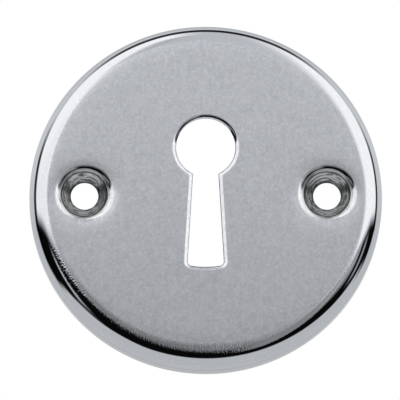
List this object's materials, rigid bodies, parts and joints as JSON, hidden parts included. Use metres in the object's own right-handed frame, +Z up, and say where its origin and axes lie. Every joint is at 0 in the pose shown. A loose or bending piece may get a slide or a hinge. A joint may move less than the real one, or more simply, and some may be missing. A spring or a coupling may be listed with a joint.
{
  "type": "keyhole escutcheon",
  "caption": "Round hollow-backed keyhole escutcheon with a rounded edge, a flared keyhole and countersunk screw holes; covers the keyhole of a door or drawer lock.",
  "frame": {"origin": "centre of the plane in which the back edge of the plate's wall lies, on the plate's axis", "axes": "upright as fixed to a door: the face looks along -Y, +Y points into the door, +Z up towards the round head of the keyhole, +X to the right seen from the front"},
  "size_m": [0.05, 0.005, 0.05],
  "materials": {
    "plated_metal": "plated and polished, with a fine satin grain on the face"
  },
  "bodies": {
    "root": {"escutcheon": "plated_metal"}
  },
  "joints": []
}
